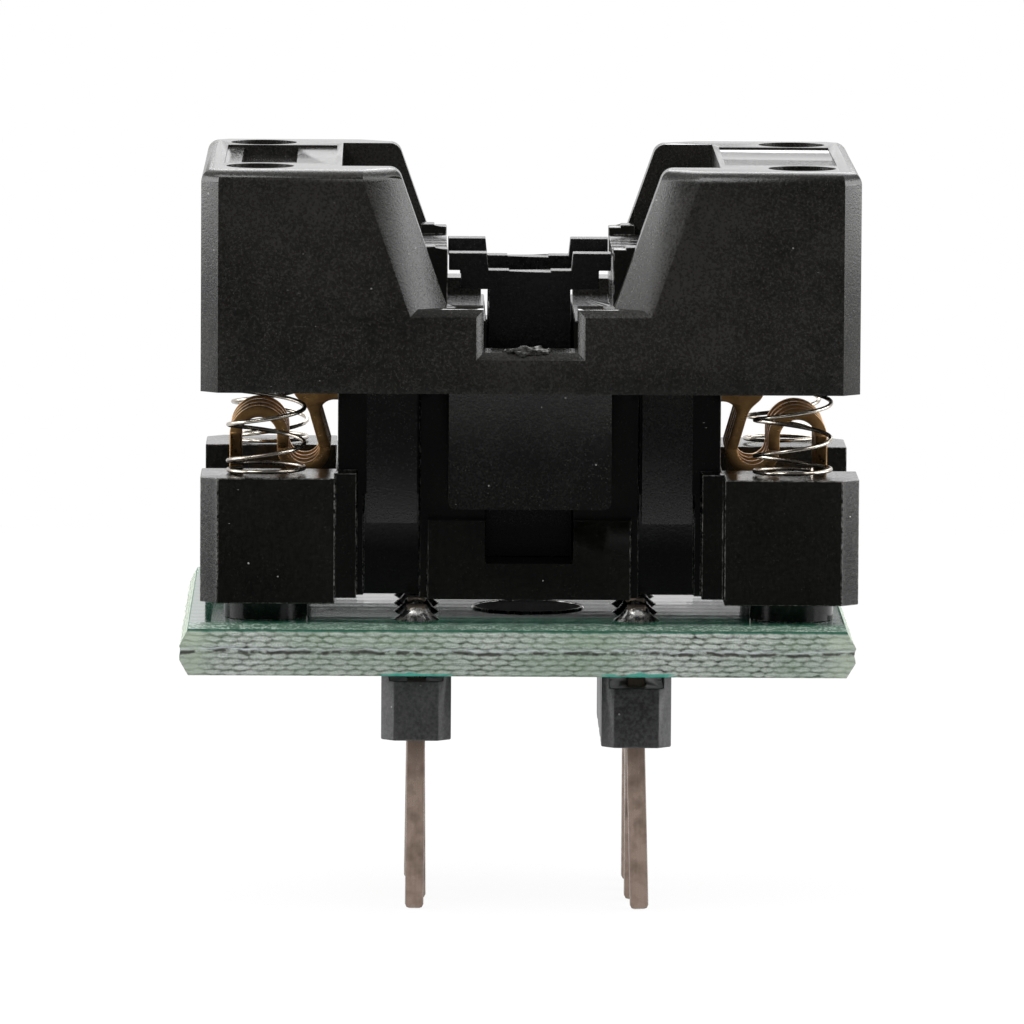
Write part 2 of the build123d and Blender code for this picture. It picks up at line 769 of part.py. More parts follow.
make_board()
make_pin_solder()
make_tail_solder()
make_base()
make_nest()
make_cover()
for side, name in ((-1, "left"), (1, "right")):
    make_header_body(side, name + "_header_body")
    for number, y in enumerate(pin_ys, 1):
        make_header_pin(side, y, name + "_header_pin_" + str(number))
    for number, y in enumerate(contact_ys, 1):
        make_contact(side, y, name + "_contact_" + str(number))
    make_spring(side * spring_x, -spring_y, name + "_front_spring")
    make_spring(side * spring_x, spring_y, name + "_rear_spring")
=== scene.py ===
"""Looks of a press-down chip socket on a small adapter board with two pin rows.

Metres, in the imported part's own frame: +Z up, and the front faces -Y.
"""

from math import cos, pi, radians, sin

import bmesh
import bpy
from mathutils import Matrix, Vector, noise


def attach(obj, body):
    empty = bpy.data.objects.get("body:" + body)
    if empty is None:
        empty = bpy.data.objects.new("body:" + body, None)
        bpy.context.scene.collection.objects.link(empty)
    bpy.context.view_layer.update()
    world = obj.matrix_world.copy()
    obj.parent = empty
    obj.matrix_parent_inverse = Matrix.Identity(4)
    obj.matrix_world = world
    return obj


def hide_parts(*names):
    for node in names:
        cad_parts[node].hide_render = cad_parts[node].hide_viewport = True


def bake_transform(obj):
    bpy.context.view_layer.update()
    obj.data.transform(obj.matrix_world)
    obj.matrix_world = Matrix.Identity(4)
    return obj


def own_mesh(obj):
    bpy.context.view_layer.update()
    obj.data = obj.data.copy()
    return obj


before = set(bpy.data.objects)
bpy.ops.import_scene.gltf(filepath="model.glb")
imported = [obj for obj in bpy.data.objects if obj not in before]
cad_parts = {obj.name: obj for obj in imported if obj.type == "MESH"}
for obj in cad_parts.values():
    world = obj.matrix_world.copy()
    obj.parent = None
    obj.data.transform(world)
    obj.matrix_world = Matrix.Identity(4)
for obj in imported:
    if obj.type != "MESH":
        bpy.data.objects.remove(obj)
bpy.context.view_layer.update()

MM = 0.001
SIDES = ((-1, "left"), (1, "right"))

# Vertices closer than this, in metres, are one
WELD = 2e-7

# Places in millimetres, as the CAD part has them
SOCKET_X = 0.42
HEADER_X = 0.34
ROW_AWAY = 3.81
PIN_ROWS = (-3.47, 4.15)
PIN_COLUMNS = (-6.45, -3.91, -1.37, 1.17)
CONTACT_COLUMNS = (-1.905, -0.635, 0.635, 1.905)
BOARD_TOP = 10.1
BOARD_MIDDLE = 9.3
BOARD_BOTTOM = 8.5
POST_TOP = 15.1
POCKET_TOP = 22.45

# Springs, the first two from the socket's middle
COIL_X = 9.12
COIL_Y = 5.7
COIL_RADIUS = 1.325
WIRE_RADIUS = 0.075
OPEN_TURNS = 5.5

# Contacts: pairs are a limb's two faces, and X places count from the socket's middle
SHEET_THICK = 0.3
TAIL = (10.08, 10.42)
TAIL_X = 10.25
TAIL_Z = 8.15
LEG = (10.05, 10.45)
LEG_Z = 12.35
LOOP_X = 9.42
LOOP_Z = 16.04
LIMB = (8.39, 8.79)
BEND_X = 7.85
BEND_Z = 15.62
BEND_INNER = 7.31

# Locating plug
PLUG_Y = -2.6
PLUG_RADIUS = 1.84


def place(x, y, z):
    """A point given in millimetres, as metres."""
    return Vector((x * MM, y * MM, z * MM))


def block(centre, size, turn=Matrix.Identity(4)):
    """Placement of a unit shape by its centre and its size, both in millimetres."""
    return Matrix.Translation(place(*centre)) @ turn @ Matrix.Diagonal((*place(*size), 1))


class Value:
    """A number, colour or vector that runs between shader nodes, with plain arithmetic."""

    def __init__(self, tree, socket):
        self.tree = tree
        self.socket = socket

    def _maths(self, operation, first, second=0.5):
        return self.tree.node("Math", {"operation": operation}, {0: first, 1: second})

    def __add__(self, other):
        return self._maths("ADD", self, other)

    def __mul__(self, other):
        return self._maths("MULTIPLY", self, other)

    def __sub__(self, other):
        return self._maths("SUBTRACT", self, other)

    def __rsub__(self, other):
        return self._maths("SUBTRACT", other, self)

    def __gt__(self, other):
        return self._maths("GREATER_THAN", self, other)

    def __lt__(self, other):
        return self._maths("LESS_THAN", self, other)

    def __abs__(self):
        return self._maths("ABSOLUTE", self)

    def whole(self):
        """The next whole number below."""
        return self._maths("FLOOR", self)

    def part(self):
        """What is left above that whole number."""
        return self._maths("FRACT", self)

    __radd__ = __add__
    __rmul__ = __mul__


class Tree:
    """A node tree that is filled one node at a time."""

    def __init__(self, tree):
        self.tree = tree

    def node(self, kind, settings, sockets, output=0):
        """Add a shader node: its settings first, then the values or links of its sockets."""
        made = self.tree.nodes.new("ShaderNode" + kind)
        for key, value in settings.items():
            setattr(made, key, value)
        for key, value in sockets.items():
            self.feed(made.inputs[key], value)
        return Value(self, made.outputs[output])

    def feed(self, socket, value):
        """Link a value to a socket, or write it there if it is a plain number or colour."""
        if isinstance(value, Value):
            self.tree.links.new(value.socket, socket)
        else:
            socket.default_value = value

    def between(self, value, low, high):
        """A value spread from 0 at low to 1 at high, and held there outside."""
        return self.node("MapRange", {"clamp": True}, {0: value, 1: low, 2: high})

    def ray(self, kind):
        """1 for rays of a kind, such as Camera or Glossy, and 0 for all others."""
        return self.node("LightPath", {}, {}, f"Is {kind} Ray")

    def most(self, first, second):
        """The larger of two values."""
        return self.node("Math", {"operation": "MAXIMUM"}, {0: first, 1: second})


class Finish(Tree):
    """A procedural material for one of the object's surfaces."""

    def __init__(self, name, **settings):
        self.material = bpy.data.materials.new(name)
        self.material.use_nodes = True
        super().__init__(self.material.node_tree)
        self.shader = self.tree.nodes["Principled BSDF"]
        for socket, value in settings.items():
            self.shader.inputs[socket.replace("_", " ")].default_value = value
        self.here = self.node("TexCoord", {}, {}, "Object")

    def stretched(self, x, y, z):
        """Object coordinates in pattern cells of these sizes, in millimetres."""
        scale = (1 / (x * MM), 1 / (y * MM), 1 / (z * MM))
        return self.node("Mapping", {}, {"Vector": self.here, "Scale": scale})

    def cloud(self, size, detail=3.0, roughness=0.5):
        """Soft noise from 0 to 1 with features of a size in millimetres."""
        return self.streaks(size, size, size, detail, roughness)

    def streaks(self, x, y, z, detail=3.0, roughness=0.5):
        """Soft noise from 0 to 1, drawn out to these sizes in millimetres."""
        sockets = {"Vector": self.stretched(x, y, z), "Scale": 1.0}
        return self.node("TexNoise", {}, {**sockets, "Detail": detail, "Roughness": roughness})

    def dots(self, x, y, z):
        """Distance to the nearest of many scattered points, in cells of this size."""
        sockets = {"Vector": self.stretched(x, y, z), "Scale": 1.0, "Randomness": 1.0}
        return self.node("TexVoronoi", {}, sockets)

    def millimetres(self, axis):
        """One object coordinate, in millimetres."""
        return self.node("SeparateXYZ", {}, {0: self.here}, axis) * (1 / MM)

    def blend(self, mask, first, second):
        """One colour where the mask is 0 and the other where it is 1."""
        return self.node("Mix", {"data_type": "RGBA"}, {0: mask, 6: first, 7: second}, 2)

    def bump(self, height, strength, distance):
        """Relief of a depth in millimetres from a height between 0 and 1."""
        sockets = {"Height": height, "Strength": strength, "Distance": distance * MM}
        return self.node("Bump", {}, sockets)

    def show(self, **links):
        """Lead the finished values into the shader."""
        for socket, value in links.items():
            self.feed(self.shader.inputs[socket.replace("_", " ")], value)
        return self.material


def moulded_black(
    name, colour, gloss, dusty, powdered, roughness, grain, depth, wear_and_sheen=0.0, shade_below=None
):
    """Black moulded plastic: mottled grain, faint flow shades, specks of dust, and edges pale with
    wear and a painted highlight.

    Grain and depth are in millimetres, and so is the height below which the colour is painted
    darker, as painted shade."""
    finish = Finish(name, IOR=1.5, Specular_IOR_Level=gloss)
    dust_and_sheen_colour = (0.42, 0.41, 0.39, 1)
    flow = finish.between(finish.cloud(4.5, 4.0, 0.6), 0.34, 0.68)
    mottle = finish.between(finish.cloud(grain * 1.8, 3.0, 0.6), 0.36, 0.70)
    shade = mottle * 0.55 + flow * 0.45
    body = finish.blend(shade, (*[c * 0.25 for c in colour], 1), (*[c * 2.4 for c in colour], 1))
    if shade_below:
        # Painted shade: low down, the colour darkens towards black.
        low_shade = 1 - finish.between(finish.millimetres(2), shade_below - 1.6, shade_below + 1.6)
        body = finish.blend(low_shade * 0.75, body, (0, 0, 0, 1))
    specks = (finish.dots(0.62, 0.62, 0.62) < 0.055) * (finish.cloud(1.7, 2.0) > 0.56)
    powder = (finish.dots(0.13, 0.13, 0.13) < 0.15) * (finish.cloud(1.1, 3.0) > 0.47) * powdered
    lint = (finish.dots(1.1, 1.1, 0.2) < 0.035) * (finish.cloud(2.3, 2.0) > 0.6)
    dust_and_sheen = finish.most(finish.most(specks, lint), powder) * dusty
    # Pale rubbed marks on the rounded edges: partly real wear, partly a painted highlight along the
    # edges.
    if wear_and_sheen:
        rubbed_sheen = finish.between(finish.cloud(0.22, 4.0, 0.7), 0.42, 0.66) * wear_and_sheen
        dust_and_sheen = finish.most(dust_and_sheen, rubbed_sheen * finish.between(finish.cloud(1.9, 2.0), 0.3, 0.6))
    fine = finish.cloud(grain, 2.0)
    relief = finish.bump(fine + mottle * 0.3, 0.5, depth)
    rough = finish.between(mottle * 0.6 + flow * 0.5, 0.2, 1.0) * 0.14 + (roughness - 0.06)
    finish.show(
        Base_Color=finish.blend(dust_and_sheen, body, dust_and_sheen_colour),
        Roughness=rough + dust_and_sheen * 0.3,
        Normal=relief,
    )
    return finish.material


def bare_metal(name, colour, stain, roughness, streak, stained):
    """Metal with tarnished patches and drawn streaks, their size along each axis in millimetres."""
    finish = Finish(name, Metallic=1.0)
    lines = finish.streaks(*streak)
    patches = finish.between(finish.cloud(0.7, 4.0, 0.6), 0.42, 0.7)
    tarnish = finish.between(patches * stained + lines * 0.35, 0.15, 0.75)
    finish.show(
        Base_Color=finish.blend(tarnish, (*colour, 1), (*stain, 1)),
        Roughness=tarnish * 0.22 + roughness,
        Normal=finish.bump(lines, 0.35, 0.01),
    )
    return finish.material


def solder_metal():
    """Bright solder with a grey skin of flux in its hollows."""
    finish = Finish("solder_bright", Metallic=1.0)
    skin = finish.between(finish.cloud(0.28, 4.0, 0.6), 0.45, 0.72)
    finish.show(
        Base_Color=finish.blend(skin, (0.80, 0.80, 0.79, 1), (0.36, 0.33, 0.28, 1)),
        Roughness=skin * 0.3 + 0.16,
        Normal=finish.bump(finish.cloud(0.2, 3.0), 0.5, 0.03),
    )
    return finish.material


def solder_mask():
    """Green mask over woven glass: mirror-smooth, but frosted and flecked at front and rear."""
    finish = Finish("green_mask", IOR=1.55)
    cells = finish.stretched(3.4, 3.4, 3.4)
    sockets = {"Vector": cells, "Scale": 1.0, "Distortion": 0.4}
    warp, weft = [finish.node("TexWave", {"bands_direction": way}, sockets) for way in "XY"]
    weave = finish.between(warp * 0.5 + weft * 0.5, 0.2, 0.9)
    shade = finish.blend(weave, (0.008, 0.066, 0.040, 1), (0.018, 0.112, 0.066, 1))
    rim = finish.between(abs(finish.millimetres(1)) + finish.cloud(0.7, 3.0) * 0.8, 8.0, 8.9)
    shade = finish.blend(rim * 0.8, shade, (0.085, 0.15, 0.105, 1))
    flecks = finish.dots(0.10, 0.26, 0.10) < 0.46
    flecks = flecks * finish.between(finish.cloud(0.4, 3.0), 0.38, 0.52)
    stones = (finish.dots(0.22, 0.5, 0.22) < 0.20) * (finish.cloud(1.1, 3.0) > 0.40)
    stones = stones * (rim * 0.7 + 0.3)
    pale = finish.most(flecks * (rim * 0.75 + 0.05), stones * 0.8)
    gritty = finish.cloud(0.13, 2.0)
    finish.show(
        Base_Color=finish.blend(pale, shade, (0.46, 0.58, 0.50, 1)),
        Roughness=finish.between(finish.cloud(0.5, 3.0), 0.3, 0.7) * 0.06 + 0.05 + rim * 0.35,
        Normal=finish.bump(weave * 0.35 + gritty * (rim * 0.7 + 0.03), 0.3, 0.02),
    )
    return finish.material


def snapped_laminate():
    """Raw edge of the board: rows of cut glass bundles, each lens-shaped, in pale green resin."""
    finish = Finish("raw_laminate", IOR=1.5)
    across, along, height = [finish.millimetres(axis) for axis in range(3)]
    row_height, bundle_length, seam_height = 0.192, 0.60, 9.50
    level = height + finish.cloud(1.9, 2.0) * 0.14 + finish.cloud(0.35, 3.0) * 0.09
    rows = level * (1 / row_height)
    stagger = (rows.whole() * 0.5).part() + rows.whole() * 0.07
    run = (across + along) * (1 / bundle_length) + stagger + finish.cloud(1.4, 2.0) * 1.2
    end = run.part() - 0.5
    edge = abs(rows.part() - 0.5)
    lens = edge + end * end * 1.5 + finish.cloud(0.15, 3.0) * 0.42
    gap = finish.between(lens, 0.46, 0.84)
    threads = finish.streaks(0.42, 0.42, 0.04)
    grit = finish.cloud(0.06, 3.0)
    light = finish.between(threads * 0.55 + grit * 0.45, 0.34, 0.66)
    light = light + (1 - finish.between(height, 9.1, 9.5)) * 0.12
    pale = finish.blend(light, (0.20, 0.24, 0.21, 1), (0.52, 0.56, 0.53, 1))
    dashes = finish.between(finish.streaks(0.42, 0.42, 0.13), 0.46, 0.58)
    hollow = finish.blend(dashes, (0.088, 0.115, 0.078, 1), (0.010, 0.013, 0.008, 1))
    depth = gap * (finish.between(finish.cloud(0.6, 3.0), 0.34, 0.6) * 0.5 + 0.5)
    body = finish.blend(depth, pale, hollow)
    greener = finish.between(finish.cloud(3.0, 3.0), 0.40, 0.70) * 0.5
    body = finish.blend(greener, body, (0.14, 0.235, 0.14, 1))
    bald = finish.between(abs(across) + finish.cloud(0.6, 3.0) * 0.8, 10.9, 11.4) * 0.6
    body = finish.blend(bald, body, (0.38, 0.44, 0.35, 1))
    seam = height + finish.cloud(1.2, 3.0, 0.6) * 0.34 - seam_height
    silver = 1 - finish.between(abs(seam - 0.11), 0.0, 0.085)
    silver = silver * finish.between(threads, 0.38, 0.6)
    body = finish.blend(silver * 0.75, body, (0.50, 0.54, 0.58, 1))
    crack = 1 - finish.between(abs(seam), 0.025, 0.08)
    crack = crack * finish.between(finish.cloud(0.5, 4.0), 0.40, 0.50)
    body = finish.blend(crack * 0.92, body, (0.020, 0.020, 0.014, 1))
    rise = height + finish.cloud(0.5, 3.0) * 0.10
    masked = finish.between(rise, BOARD_TOP - 0.06, BOARD_TOP)
    body = finish.blend(masked, body, (0.008, 0.085, 0.050, 1))
    near_row = abs(abs(across - HEADER_X) - ROW_AWAY) + finish.cloud(0.4, 3.0) * 0.6
    low = height - finish.cloud(0.8, 3.0) * 0.34
    low = 1 - finish.between(low, BOARD_BOTTOM - 0.10, BOARD_BOTTOM - 0.05)
    teal = (1 - finish.between(near_row, 1.3, 1.6)) * low
    body = finish.blend(teal, body, (0.03, 0.30, 0.23, 1))
    relief = finish.bump(threads * 0.5 - gap * 0.8 - crack * 1.2, 0.8, 0.05)
    finish.show(Base_Color=body, Roughness=gap * 0.2 + 0.45, Normal=relief)
    return finish.material


# What the finishes of one moulding have in common
COVER = dict(
    colour=(0.0125, 0.0120, 0.0108),
    gloss=0.42,
    dusty=0.5,
    powdered=0.14,
    roughness=0.27,
    grain=0.05,
    depth=0.012,
)
BASE = dict(colour=(0.0036, 0.0036, 0.0029), gloss=0.36, dusty=0.8, powdered=0.03, grain=0.06)
FINISHES = {
    # The cover's lower parts are painted darker, as painted shade.
    "cover": moulded_black("cover_black", **COVER, shade_below=17.6),
    # The upward faces: polished and dustier, with a lighter colour than the rest of the cover as
    # painted light from above.
    "cover_top": moulded_black(
        "cover_black_polished_lit",
        colour=(0.020, 0.019, 0.017),
        gloss=0.6,
        dusty=0.8,
        powdered=0.35,
        roughness=0.12,
        grain=0.05,
        depth=0.001,
    ),
    # Rounded edges of the cover: pale rubbed marks, partly wear and partly a painted highlight.
    "cover_edge": moulded_black("cover_black_rubbed_sheen", **COVER, wear_and_sheen=0.16),
    "base": moulded_black("base_black", **BASE, roughness=0.19, depth=0.004),
    # Rounded edges of the base: pale rubbed marks, partly wear and partly a painted highlight.
    "base_edge": moulded_black(
        "base_black_rubbed_sheen", **BASE, roughness=0.22, depth=0.006, wear_and_sheen=0.45
    ),
    "nest": moulded_black(
        "nest_black",
        colour=(0.006, 0.006, 0.006),
        gloss=0.36,
        dusty=0.6,
        powdered=0.08,
        roughness=0.28,
        grain=0.06,
        depth=0.008,
    ),
    # A darker copy of the black plastic without gloss, as painted shade.
    "shaded_matt": moulded_black(
        "shaded_matt_black",
        colour=(0.002, 0.002, 0.002),
        gloss=0.03,
        dusty=0.3,
        powdered=0.02,
        roughness=0.5,
        grain=0.06,
        depth=0.004,
    ),
    "header": moulded_black(
        "header_black",
        colour=(0.031, 0.031, 0.032),
        gloss=0.44,
        dusty=0.5,
        powdered=0.10,
        roughness=0.36,
        grain=0.07,
        depth=0.010,
    ),
    "bronze": bare_metal(
        "contact_bronze",
        colour=(0.72, 0.43, 0.18),
        stain=(0.42, 0.23, 0.095),
        roughness=0.27,
        streak=(0.3, 0.3, 0.05),
        stained=0.6,
    ),
    "steel": bare_metal(
        "spring_wire",
        colour=(0.50, 0.46, 0.40),
        stain=(0.18, 0.15, 0.12),
        roughness=0.16,
        streak=(0.12, 0.12, 0.05),
        stained=0.5,
    ),
    "tin": bare_metal(
        "pin_tin",
        colour=(0.27, 0.205, 0.168),
        stain=(0.17, 0.125, 0.10),
        roughness=0.26,
        streak=(0.07, 0.07, 1.2),
        stained=0.55,
    ),
    "solder": solder_metal(),
    "mask": solder_mask(),
    "laminate": snapped_laminate(),
}


def piece(bm, name, finish, body, nodes=(), sharp=22, flat_above=1000.0):
    """Turn a finished bmesh into a named piece that rides on a body and stands for nodes.

    Its faces are shaded smooth, except plain ones larger than an area in square millimetres."""
    mesh = bpy.data.meshes.new(name)
    for face in bm.faces:
        face.smooth = face.material_index == 1 or face.calc_area() < flat_above * MM * MM
    bm.to_mesh(mesh)
    bm.free()
    mesh.set_sharp_from_angle(angle=radians(sharp))
    shown = bpy.data.objects.new(name, mesh)
    bpy.context.scene.collection.objects.link(shown)
    for each in [finish] if isinstance(finish, str) else finish:
        mesh.materials.append(FINISHES[each])
    if body:
        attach(shown, body)
    if nodes:
        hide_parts(*nodes)
    return shown


def only(kind, items):
    """Those of a mesh's items that are of one kind: vertices, edges or faces."""
    return [item for item in items if isinstance(item, kind)]


def plain(bm):
    """Join the triangles of each flat face of a CAD mesh."""
    bmesh.ops.dissolve_limit(bm, angle_limit=radians(0.6), verts=bm.verts, edges=bm.edges)


def softened(bm, edges, width, segments=2, **settings):
    """Round edges over by a width in millimetres."""
    return bmesh.ops.bevel(
        bm,
        geom=edges,
        offset=width * MM,
        affect="EDGES",
        segments=segments,
        profile=0.5,
        material=-1,
        **settings,
    )


def eased(node, width, spared=lambda spot: False):
    """A merged copy of a CAD node's mesh, its hard edges rounded over by a width in mm.

    An edge whose middle is at a spared spot stays sharp. Rounded faces take the second finish."""
    bm = bmesh.new()
    bm.from_mesh(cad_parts[node].data)
    bmesh.ops.remove_doubles(bm, verts=bm.verts, dist=WELD)
    plain(bm)
    hard = [
        edge
        for edge in bm.edges
        if edge.is_manifold
        and edge.calc_face_angle() > radians(33)
        and edge.calc_length() > 3 * width * MM
        and not spared((edge.verts[0].co + edge.verts[1].co) / 2 / MM)
    ]
    rounded = softened(bm, hard, width, clamp_overlap=True)
    for face in rounded["faces"]:
        face.material_index = 1
    return bm


def round_window(spot):
    """Whether a spot in millimetres is in the middle of the base's front, round the window."""
    return abs(spot.x - SOCKET_X) < 2.7 and spot.y < -4 and spot.z < 20


def make_mouldings():
    """Cover, base, nest and header insulators, with the small radii of a real mould."""
    cover_part = eased("floating_cover", 0.09)
    # The polished upper faces, in a lighter copy of the cover's colour as painted light
    for face in cover_part.faces:
        if face.normal.z > 0.99 and face.calc_center_median().z > 20.5 * MM:
            face.material_index = 2
    looks = ["cover", "cover_edge", "cover_top"]
    nodes = ["floating_cover"]
    piece(cover_part, "cover_frame", looks, "cover", nodes, flat_above=2.0)
    base_part = eased("socket_base", 0.05, round_window)
    # The window's side walls, in a darker matt black without gloss as painted shade
    for face in base_part.faces:
        spot = face.calc_center_median() / MM
        if abs(face.normal.x) > 0.99 and abs(spot.x - SOCKET_X) < 2.0 and spot.z < 17:
            face.material_index = 2
    looks = ["base", "base_edge", "shaded_matt"]
    nodes = ["socket_base"]
    piece(base_part, "base_block", looks, "board", nodes, flat_above=2.0)
    nest_part = eased("chip_nest", 0.04)
    # The foot of the stem, widened in its channel so that no light passes beside it
    widening = 0.11
    for vert in nest_part.verts:
        if vert.co.z < 12.5 * MM:
            vert.co.x += (widening if vert.co.x > SOCKET_X * MM else -widening) * MM
    looks = ["nest", "base_edge"]
    nodes = ["chip_nest"]
    piece(nest_part, "nest_insert", looks, "board", nodes, flat_above=1.0)
    for _, side in SIDES:
        node, name = side + "_header_body", side + "_insulator"
        insulator, looks = eased(node, 0.05), ["header", "header"]
        piece(insulator, name, looks, "board", [node], flat_above=2.0)


def climb(edge):
    """Difference in height between an edge's ends, in metres."""
    return abs(edge.verts[0].co.z - edge.verts[1].co.z)


def make_board():
    """Snapped laminate: mask on its two faces, and a rough web standing out all round."""
    web_width, web_depth, web_height = 23.3, 20.26, 0.5
    top_width, top_depth, half_height = 22.64, 19.6, 0.8
    bm = bmesh.new()
    shape = block((0, 0, BOARD_MIDDLE), (web_width, web_depth, web_height))
    bmesh.ops.create_cube(bm, size=1, matrix=shape)
    for way in (1, -1):
        cap = [face for face in bm.faces if face.normal.z * way > 0.9]
        grown = bmesh.ops.extrude_face_region(bm, geom=cap)
        bmesh.ops.delete(bm, geom=cap, context="FACES_ONLY")
        rim = only(bmesh.types.BMVert, grown["geom"])
        rise = half_height - web_height / 2
        bmesh.ops.translate(bm, verts=rim, vec=(0, 0, way * rise * MM))
        bmesh.ops.scale(bm, verts=rim, vec=(top_width / web_width, top_depth / web_depth, 1))
    upright = [edge for edge in bm.edges if climb(edge) > 1e-5]
    bmesh.ops.subdivide_edges(bm, edges=upright, cuts=3, use_grid_fill=True)
    around = [edge for edge in bm.edges if climb(edge) < 1e-6]
    bmesh.ops.subdivide_edges(bm, edges=around, cuts=119, use_grid_fill=True)
    for vert in bm.verts:
        depth = 1 - abs(vert.co.z / MM - BOARD_MIDDLE) / half_height
        if depth < 0.02 or abs(vert.normal.z) > 0.99:
            continue
        spot = vert.co / MM
        ragged = noise.fractal(Vector((spot.x * 2.2, spot.y * 2.2, spot.z * 5)), 0.6, 2.2, 4)
        fibre = noise.noise(Vector((spot.x * 1.1, spot.y * 1.1, spot.z * 14)))
        push = (ragged * 0.06 + fibre * 0.035 - 0.08) * depth * MM
        vert.co += Vector((vert.normal.x, vert.normal.y, 0)) * push
    bm.normal_update()
    for face in bm.faces:
        outer = abs(face.calc_center_median().z / MM - BOARD_MIDDLE) > half_height - 0.05
        face.material_index = 0 if outer and abs(face.normal.z) > 0.95 else 1
    looks, nodes = ["mask", "laminate"], ["circuit_board"]
    piece(bm, "laminate_board", looks, "board", nodes, sharp=50)


def make_pins():
    """Square tinned pins, cut to a blunt point, some of them leaning from below the insulator."""
    size, length, start, held = 0.64, 10.58, 0.02, 5.9
    leans = {
        ("left", 1): 0.3,
        ("right", 1): -1.6,
        ("left", 2): -0.5,
        ("right", 3): -0.7,
        ("left", 4): 0.6,
    }
    for (_, side), x in zip(SIDES, PIN_ROWS):
        for number, y in enumerate(PIN_COLUMNS, 1):
            bm = bmesh.new()
            shape = block((x, y, start + length / 2), (size, size, length))
            bmesh.ops.create_cube(bm, size=1, matrix=shape)
            tip = [edge for edge in bm.edges if max(vert.co.z for vert in edge.verts) < 0.03 * MM]
            softened(bm, tip, 0.15)
            softened(bm, [edge for edge in bm.edges if edge.calc_length() > 5 * MM], 0.10)
            everything = bm.verts[:] + bm.edges[:] + bm.faces[:]
            knee = place(x, y, held)
            bmesh.ops.bisect_plane(bm, geom=everything, plane_co=knee, plane_no=(0, 0, 1))
            free = [vert for vert in bm.verts if vert.co.z < (held - 0.05) * MM]
            lean = Matrix.Rotation(radians(leans.get((side, number), 0)), 3, "Y")
            bmesh.ops.rotate(bm, verts=free, cent=knee, matrix=lean)
            node = f"{side}_header_pin_{number}"
            piece(bm, f"{side}_pin_{number}", "tin", "board", [node], sharp=40)


def lathed(profile, at, steps=24):
    """A bmesh turned about the upright axis through a point, from radii and heights in mm."""
    bm = bmesh.new()
    ring = [bm.verts.new(at + Vector((radius * MM, 0, height * MM))) for radius, height in profile]
    edges = [bm.edges.new(pair) for pair in zip(ring, ring[1:])]
    bmesh.ops.spin(
        bm,
        geom=ring + edges,
        cent=at,
        axis=(0, 0, 1),
        angle=2 * pi,
        steps=steps,
        use_merge=True,
    )
    bmesh.ops.remove_doubles(bm, verts=bm.verts, dist=WELD)
    bmesh.ops.recalc_face_normals(bm, faces=bm.faces)
    return bm


def joined(parts):
    """Several bmeshes as one."""
    whole = bmesh.new()
    for part in parts:
        mesh = bpy.data.meshes.new("part")
        part.to_mesh(mesh)
        part.free()
        whole.from_mesh(mesh)
        bpy.data.meshes.remove(mesh)
    return whole


def round_tails(profile):
    """One turned bmesh under the board round each contact's tail."""
    return [
        lathed(profile, place(SOCKET_X + side * TAIL_X, y, BOARD_BOTTOM))
        for side, _ in SIDES
        for y in CONTACT_COLUMNS
    ]


def make_solder():
    """Fillets round the pins on top, and lumps over the contact tails below."""
    fillet = [
        (0.3, 0), (0.8, 0), (0.7, 0.07), (0.58, 0.16), (0.46, 0.28), (0.37, 0.42), (0.3, 0.45),
    ]
    tops = joined([lathed(fillet, place(x, y, BOARD_TOP)) for x in PIN_ROWS for y in PIN_COLUMNS])
    piece(tops, "pin_fillets", "solder", "board", ["pin_solder_joints"], sharp=40)
    lump = [(0, -0.5), (0.2, -0.47), (0.32, -0.38), (0.42, -0.22), (0.58, -0.04), (0.6, 0), (0, 0)]
    tails = joined(round_tails(lump))
    piece(tails, "tail_lumps", "solder", "board", ["tail_solder_joints"], sharp=40)


def make_springs():
    """Drawn wire screwed up from each post into its pocket, with a closed turn at each end."""
    steps = 28
    rise_closed = 0.165
    rise_open = (POCKET_TOP - POST_TOP - 2 * WIRE_RADIUS - 2 * rise_closed) / OPEN_TURNS
    starts = {
        ("left", "front"): 130,
        ("right", "front"): 57,
        ("left", "rear"): 210,
        ("right", "rear"): 330,
    }
    for (side, end), start in starts.items():
        x, y = (-COIL_X if side == "left" else COIL_X), (-COIL_Y if end == "front" else COIL_Y)
        bm = bmesh.new()
        centre = place(SOCKET_X + x, y, POST_TOP + WIRE_RADIUS)
        out = Matrix.Translation(place(COIL_RADIUS, 0, 0))
        first = Matrix.Rotation(radians(start), 4, "Z") @ out
        shape = Matrix.Translation(centre) @ first @ Matrix.Rotation(pi / 2, 4, "X")
        radius = WIRE_RADIUS * MM
        bmesh.ops.create_circle(bm, cap_ends=True, radius=radius, segments=10, matrix=shape)
        section = bm.faces[:]
        for turns, rise in ((1, rise_closed), (OPEN_TURNS, rise_open), (1, rise_closed)):
            coiled = bmesh.ops.spin(
                bm,
                geom=section,
                cent=centre,
                axis=(0, 0, 1),
                dvec=(0, 0, rise * MM / steps),
                angle=2 * pi * turns,
                steps=int(steps * turns),
            )
            section = only(bmesh.types.BMFace, coiled["geom_last"])
        bmesh.ops.recalc_face_normals(bm, faces=bm.faces)
        node = f"{side}_{end}_spring"
        spring = piece(bm, node + "_coil", "steel", "board", [node], sharp=60)
        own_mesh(spring)


def strip_section(bm, limb, y, z):
    """Cross-section of one limb of a contact's strip, as a level face."""
    inner, outer = limb
    shape = block((SOCKET_X + (inner + outer) / 2, y, z), (outer - inner, SHEET_THICK, 1))
    made = bmesh.ops.create_grid(bm, x_segments=1, y_segments=1, size=0.5, matrix=shape)
    return list(made["verts"][0].link_faces)


